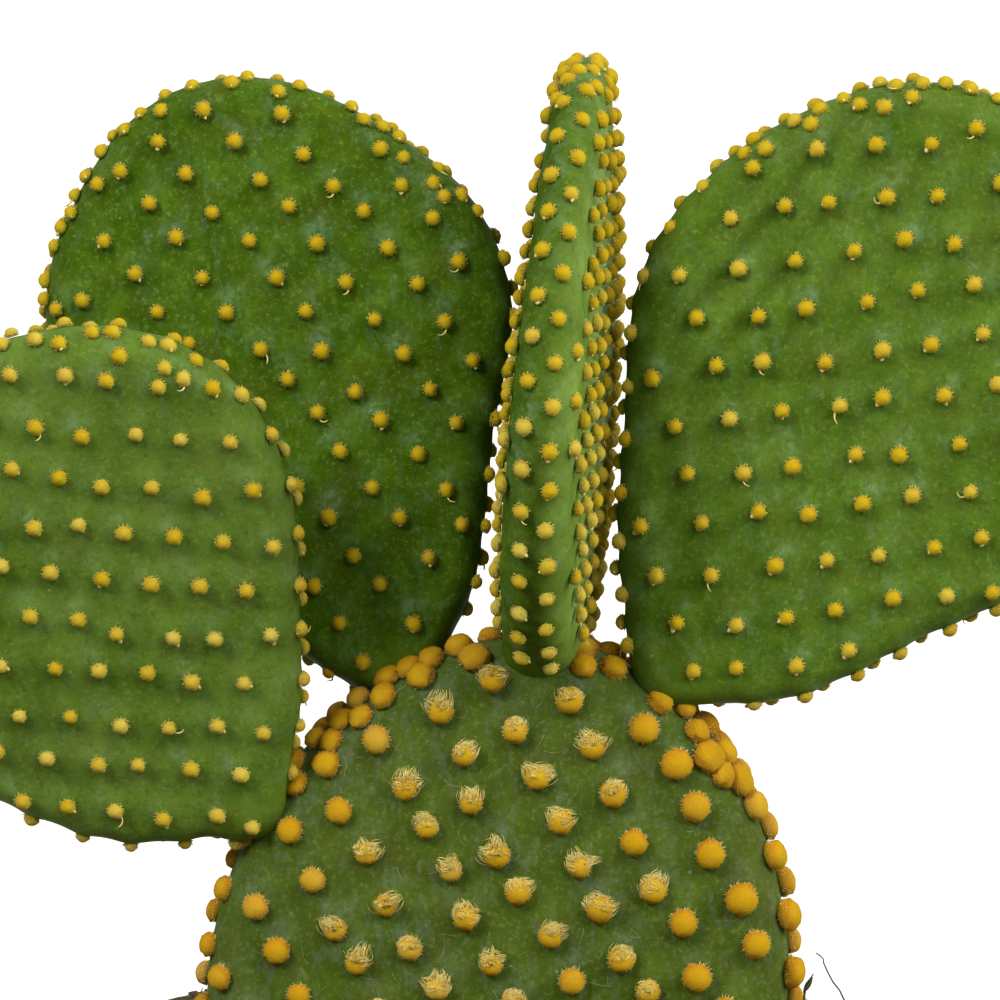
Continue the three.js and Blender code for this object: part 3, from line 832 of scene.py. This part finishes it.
potDetail = dict(
    height=105, rimRadius=60, footRadius=40, wall=4.5, floor=7, floorRadius=36, drainRadius=7,
    collarHeight=25, collarTaper=1.2, around=192,
    # How rounded the section's corners are, from the drain hole round the outside to the floor
    rounds=(0.8, 1.6, 0.9, 1.0, 1.6, 1.6, 0.6, 0.8),
)


def innerRadius(height):
    # The pot's inner wall is a straight line from the floor to the mouth
    mouth = potDetail["rimRadius"] - potDetail["wall"]
    share = (height - potDetail["floor"]) / (potDetail["height"] - potDetail["floor"])
    return potDetail["floorRadius"] + share * (mouth - potDetail["floorRadius"])


def lumps(x, y, size, seed):
    # Smooth lumps about `size` across: random heights on a square net, blended by a smooth step in each cell
    net = 256
    heights = np.random.default_rng(seed).uniform(-1, 1, (net + 1, net + 1))
    a, b = x / size + net / 2, y / size + net / 2
    i, j = np.floor(a).astype(int) % net, np.floor(b).astype(int) % net
    s, t = a - np.floor(a), b - np.floor(b)
    s, t = s * s * (3 - 2 * s), t * t * (3 - 2 * t)
    low = heights[i, j] * (1 - s) + heights[i + 1, j] * s
    high = heights[i, j + 1] * (1 - s) + heights[i + 1, j + 1] * s
    return low * (1 - t) + high * t


def soilHeight(radius, x, y):
    # The heap's profile through its driving heights, roughened by three sizes of lumps, and two round mounds
    detail = soilDetail
    wall = innerRadius(detail["atWall"]) - detail["wallGap"]
    between = (detail["shoulderRadius"] + wall) / 2
    half = (detail["shoulder"] + detail["atWall"]) / 2 + detail["round"]
    radii = [0, detail["shoulderRadius"] / 2, detail["shoulderRadius"], between, wall]
    heights = [detail["crown"], detail["crown"], detail["shoulder"], half, detail["atWall"]]
    rough = sum(lumps(x, y, size, seed) * share for size, seed, share in detail["lumps"])
    heaps = sum(high * np.exp(-((x - a) ** 2 + (y - b) ** 2) / reach ** 2)
                for a, b, reach, high in detail["mounds"])
    return np.interp(radius, radii, heights) + rough * detail["roughness"] + heaps


def spun(points, angle, first, second):
    # The points turned by an angle in the plane of two of their coordinates
    turned = points.copy()
    cos, sin = np.cos(angle)[:, None], np.sin(angle)[:, None]
    turned[..., first] = points[..., first] * cos - points[..., second] * sin
    turned[..., second] = points[..., first] * sin + points[..., second] * cos
    return turned


def crumbPart(count, size, squash, rise, seed):
    # Lumps on the soil: a twenty-sided ball with every corner pushed in or out, turned and sized at random
    golden = (1 + 5 ** 0.5) / 2
    corners = unit(np.array([
        (-1, golden, 0), (1, golden, 0), (-1, -golden, 0), (1, -golden, 0),
        (0, -1, golden), (0, 1, golden), (0, -1, -golden), (0, 1, -golden),
        (golden, 0, -1), (golden, 0, 1), (-golden, 0, -1), (-golden, 0, 1)]))
    faces = np.array([
        (0, 11, 5), (0, 5, 1), (0, 1, 7), (0, 7, 10), (0, 10, 11), (1, 5, 9), (5, 11, 4), (11, 10, 2),
        (10, 7, 6), (7, 1, 8), (3, 9, 4), (3, 4, 2), (3, 2, 6), (3, 6, 8), (3, 8, 9), (4, 9, 5), (2, 4, 11),
        (6, 2, 10), (8, 6, 7), (9, 8, 1)])
    rng = np.random.default_rng(seed)
    radius = np.sqrt(rng.uniform(0, 1, count)) * soilDetail["grainReach"]
    turn = rng.uniform(0, fullTurn, count)
    x, y = radius * np.cos(turn), radius * np.sin(turn)
    across = rng.uniform(*size, count) / 2
    shape = corners * rng.uniform(*soilDetail["grainLumps"], (count, 12, 1))
    shape = shape * np.array(squash) * across[:, None, None]
    spin, tip = rng.uniform(0, 6.28, count), rng.normal(0, soilDetail["grainTip"], count)
    points = spun(spun(shape, tip, 1, 2), spin, 0, 1)
    points = points + np.stack([x, y, soilHeight(radius, x, y) + across * rise], -1)[:, None]
    start = np.arange(count)[:, None, None] * 12
    tone = np.repeat(rng.uniform(0, 1, count), 12)
    return points.reshape(-1, 3), [(start + faces).reshape(-1, 3)], dict(tone=tone)


def soilMaterial():
    # Potting soil, peat and bark ground together and damp: dark, crumbly and matt, with a film of algae
    material, tree = newMaterial("potting_soil_loose", **{"IOR": 1.45, "Roughness": 0.95})
    paint(tree, "#2e2113", [
        ("#5c4830", amount(tree, 1.2, 0.32, 0.68, detail=5, rough=0.65)),
        ("#6a6a34", amount(tree, 9, 0.4, 0.6, 0.75, detail=4, rough=0.6)),
        ("#8f8560", amount(tree, 0.7, 0.66, 0.74, 0.6, detail=2, rough=0.5)),
    ])
    relief(tree, [(amount(tree, 0.6, detail=5, rough=0.7), 0.8, 0.4)])
    return material


def grainMaterial(name, dark, light, roughness, size):
    # Loose mineral or plant grains, broken or grown: rough and matt, speckled, and each in its own tone
    material, tree = newMaterial(name, Roughness=roughness)
    paint(tree, dark, [(light, amount(tree, "tone")), (dark, amount(tree, size, 0.35, 0.7, 0.45, detail=4))])
    relief(tree, [(amount(tree, size * 0.5), 0.6, 0.2)])
    return material


def makeSoil():
    # A disc of rings from the middle to the wall, laid over the heap, then down the wall and across the foot
    detail = soilDetail
    wall = innerRadius(detail["atWall"]) - detail["wallGap"]
    rings, around = detail["rings"], detail["around"]
    radius = np.linspace(0.02, 1, rings)[:, None] * wall * np.ones(around)
    turn = np.arange(around) * fullTurn / around * np.ones((rings, 1))
    x, y = radius * np.cos(turn), radius * np.sin(turn)
    low = innerRadius(detail["foot"]) - detail["wallGap"]
    foot = np.stack([low * np.cos(turn[0]), low * np.sin(turn[0]), np.full(around, detail["foot"])], -1)
    points = np.concatenate([np.stack([x, y, soilHeight(radius, x, y)], -1), foot[None]]).reshape(-1, 3)
    number = np.arange(len(points)).reshape(rings + 1, around)
    nextOne = np.roll(number, -1, 1)
    walls = np.stack([number[:-1], number[1:], nextOne[1:], nextOne[:-1]], -1).reshape(-1, 4)
    top, bottom = len(points), len(points) + 1
    points = np.concatenate([points, [(0, 0, detail["crown"]), (0, 0, detail["foot"])]])
    lid = np.stack([np.full(around, top), number[0], nextOne[0]], -1)
    base = np.stack([np.full(around, bottom), nextOne[-1], number[-1]], -1)
    putMesh("soil_bed", [(points, [walls, lid, base], {})], soilMaterial(), ["soil"])
    for k, (name, count, size, squash, rise, finish) in enumerate(detail["grains"]):
        part = crumbPart(count, size, squash, rise, detail["seed"] + k)
        putMesh(name, [part], grainMaterial(*finish))
    makeMoss()
    print("soil, crumbs, perlite, bark and moss")


def makeMoss():
    # Low moss where the algae grow thickest: short green points on the soil, gathered in cushions
    detail = soilDetail
    rng = np.random.default_rng(detail["seed"] + 5)
    count = detail["moss"]
    heaps = np.repeat(np.array(detail["mounds"])[:, :2], detail["heapCushions"], 0)
    loose = rng.uniform(-1, 1, (detail["cushions"], 2)) * detail["cushionReach"]
    cushions = np.concatenate([loose, heaps + rng.normal(0, detail["heapSize"], heaps.shape)])
    chosen = cushions[rng.integers(0, len(cushions), count)]
    x, y = (chosen + rng.normal(0, detail["cushionSize"], (count, 2))).T
    kept = np.hypot(x, y) < detail["mossReach"]
    x, y = x[kept], y[kept]
    roots = np.stack([x, y, soilHeight(np.hypot(x, y), x, y) - 0.1], -1)
    lean = rng.normal(0, detail["mossLean"], (len(roots), 2))
    tall = rng.uniform(*detail["mossHeight"], len(roots))[:, None]
    tips = roots + np.concatenate([lean, np.ones((len(roots), 1))], 1) * tall
    radius = np.full(len(roots), detail["mossRadius"])
    points, faces = spikes(roots, tips, radius, rng.uniform(0, 6.28, len(roots)))
    tone = np.repeat(rng.uniform(0, 1, len(roots)), 4)
    material = grainMaterial("moss_living", "#767c34", "#aeb063", 0.8, 0.8)
    putMesh("moss", [(points, faces, dict(tone=tone))], material)


# Dead twigs on the soil, at the right

twigDetail = dict(
    routes=[
        [(50.7, 0, 121.4), (51.8, 0, 120.5), (51.8, 0.2, 119.9), (52.7, 0.4, 117.7), (54.6, 0.8, 115.4),
         (55.2, 1.2, 112), (54, 1.8, 106), (52.6, 2.2, 102.5)],
        [(48.7, 0.5, 118.2), (48, 0.8, 117.3), (47.8, 1.4, 113), (48.6, 2, 108)],
        [(50.3, -1, 118.6), (49.8, -1, 117.8), (49.1, -0.8, 115.8), (48.7, -0.4, 112), (49, 0, 107.5)],
    ],
    steps=14, radius=(0.1, 0.16), kinks=21, kinkSize=(0.05, 0.08, 0.04),
    leaf=((48.9, -0.9, 115.8), (50.2, -1.1, 118.2)), leafSteps=9, leafRadius=0.42,
)


def makeTwigs():
    # Each twig is a thin strip along its route, with small kinks; the dry leaf is a flat one, a sine wide
    detail = twigDetail
    material = grainMaterial("twig_dead_weathered", "#2b2a1c", "#4d4a33", 0.85, 1.0)
    parts = []
    share = np.linspace(0, 1, detail["steps"])
    for route in detail["routes"]:
        points = np.array(route, float)
        path = np.stack([np.interp(share, np.linspace(0, 1, len(points)), line) for line in points.T], -1)
        path += np.sin(share * detail["kinks"])[:, None] * detail["kinkSize"]
        shape, faces = strands(path[None], np.interp(share, (0, 1), detail["radius"])[None], sides=5)
        parts.append((shape, faces, dict(tone=np.full(len(shape), 0.3))))
    leaf = np.linspace(*detail["leaf"], detail["leafSteps"])
    wide = detail["leafRadius"] * np.sin(np.linspace(0.15, 3.0, detail["leafSteps"]))[None]
    shape, faces = strands(leaf[None], wide, flatten=0.3, sides=6)
    parts.append((shape, faces, dict(tone=np.full(len(shape), 0.8))))
    putMesh("dead_twigs", parts, material)
    print("twigs", len(detail["routes"]))


# Pot

def roundedProfile(corners, rounds):
    # A closed line through the corners, each one replaced by a short parabola as wide as its round
    corners, line = np.array(corners, float), []
    t = np.linspace(0, 1, 6)[:, None]
    for k, (corner, size) in enumerate(zip(corners, rounds)):
        before, after = corners[k - 1] - corner, corners[(k + 1) % len(corners)] - corner
        start = corner + before / np.linalg.norm(before) * size
        end = corner + after / np.linalg.norm(after) * size
        line.append((1 - t) ** 2 * start + 2 * t * (1 - t) * corner + t ** 2 * end)
    return np.concatenate(line)


def clayMaterial():
    # Terracotta, thrown or pressed and fired without glaze: dry, porous and matt, with a fine sandy tooth,
    # faint turning lines, pale lime bloom where water has dried and darker damp towards the foot
    material, tree = newMaterial("terracotta_unglazed", **{"IOR": 1.5, "Specular IOR Level": 0.25})
    height = addNode(tree, "SeparateXYZ", {"Vector": addNode(tree, "TexCoord", output="Object")}, "Z")
    driedOut = amount(tree, height, 84 * mm, 52 * mm, 0.6)
    paint(tree, "#a9552f", [
        ("#bd6b43", amount(tree, 30, 0.35, 0.65, detail=4)),
        ("#c88761", amount(tree, 0.9, 0.35, 0.7, 0.35, detail=4, rough=0.7)),
        ("#8a4526", amount(tree, 3.2, 0.12, 0.05, 0.5, cells=True)),
        ("#cfa78a", amount(tree, 11, 0.46, 0.72, detail=5, rough=0.65, squeeze=(1, 1, 0.55), times=driedOut)),
        ("#7d4227", amount(tree, height, 22 * mm, 0.0, 0.45)),
    ])
    inputs = {"Value": amount(tree, 6), "To Min": 0.78, "To Max": 0.95}
    toShader(tree, "Roughness", addNode(tree, "MapRange", inputs))
    relief(tree, [(amount(tree, 0.5, detail=4, rough=0.7), 0.5, 0.15),
                  (amount(tree, 1.4, rough=0.5, squeeze=(0.02, 0.02, 1)), 0.4, 0.2)])
    return material


def makePot():
    # The pot's closed section carried round Z
    p = potDetail
    collarBase = p["height"] - p["collarHeight"]
    line = roundedProfile([
        (p["drainRadius"], 0), (p["footRadius"], 0), (innerRadius(collarBase) + p["wall"], collarBase),
        (p["rimRadius"] - p["collarTaper"], collarBase), (p["rimRadius"], p["height"]),
        (innerRadius(p["height"]), p["height"]), (p["floorRadius"], p["floor"]),
        (p["drainRadius"], p["floor"]),
    ], p["rounds"])
    around = p["around"]
    turn = np.arange(around) * fullTurn / around
    radius, height = line[:, :1], np.broadcast_to(line[:, 1:], (len(line), around))
    points = np.stack([radius * np.cos(turn), radius * np.sin(turn), height], -1).reshape(-1, 3)
    number = np.arange(len(points)).reshape(len(line), around)
    up, on = np.roll(number, -1, 0), np.roll(number, -1, 1)
    walls = np.stack([number, on, np.roll(up, -1, 1), up], -1).reshape(-1, 4)
    putMesh("clay_pot", [(points, [walls], {})], clayMaterial(), ["pot"])
    print("pot")


# Floor, light and camera

studio = dict(
    floorSize=60.0,
    floorColour="#fbfbfa",
    sky=0.25,
    lights=[  # power, softness in degrees, azimuth to the right of the front, height above the horizon
        ("light_right", 1.5, 26, 34, 38),
        ("light_left", 2.55, 20, -42, 37),
        ("light_side", 2.4, 40, 80, 20),
        ("light_back", 0.9, 50, 165, 30),
    ],
    target=(6.0655, 0, 186),
    distance=1000,
    elevation=8,
    lens=257.14,
)


def fromFront(azimuth, height):
    # The direction to a light or camera, from its angles in degrees
    a, e = np.radians([azimuth, height])
    return Vector((np.sin(a) * np.cos(e), -np.cos(a) * np.cos(e), np.sin(e)))


def makeStudio():
    mesh = bpy.data.meshes.new("floor")
    half = studio["floorSize"] / 2
    corners = [(-half, -half, 0), (half, -half, 0), (half, half, 0), (-half, half, 0)]
    mesh.from_pydata(corners, [], [(0, 1, 2, 3)])
    floor = bpy.data.objects.new("floor", mesh)
    scene.collection.objects.link(floor)
    paper = {"Roughness": 0.9, "Base Color": linear(studio["floorColour"])}
    mesh.materials.append(newMaterial("studio_paper_matt", **paper)[0])
    floor.visible_diffuse = False
    world = bpy.data.worlds.new("studio")
    world.use_nodes = True
    world.node_tree.nodes["Background"].inputs["Color"].default_value = (1, 1, 1, 1)
    world.node_tree.nodes["Background"].inputs["Strength"].default_value = studio["sky"]
    scene.world = world
    for name, power, soft, azimuth, height in studio["lights"]:
        lamp = bpy.data.lights.new(name, "SUN")
        lamp.energy = power
        lamp.angle = np.radians(soft)
        light = bpy.data.objects.new(name, lamp)
        light.rotation_euler = fromFront(azimuth, height).to_track_quat("Z", "Y").to_euler()
        scene.collection.objects.link(light)
    camera = bpy.data.objects.new("camera", bpy.data.cameras.new("camera"))
    back = fromFront(0, studio["elevation"])
    camera.location = (Vector(studio["target"]) + back * studio["distance"]) * mm
    camera.rotation_euler = back.to_track_quat("Z", "Y").to_euler()
    camera.data.lens = studio["lens"]
    camera.data.clip_end = 100
    scene.collection.objects.link(camera)
    scene.camera = camera
    scene.view_settings.view_transform = "Standard"
    print("floor, lights and camera")


makeStudio()
makePads()
makeHairs()
makeSoil()
makeTwigs()
makePot()
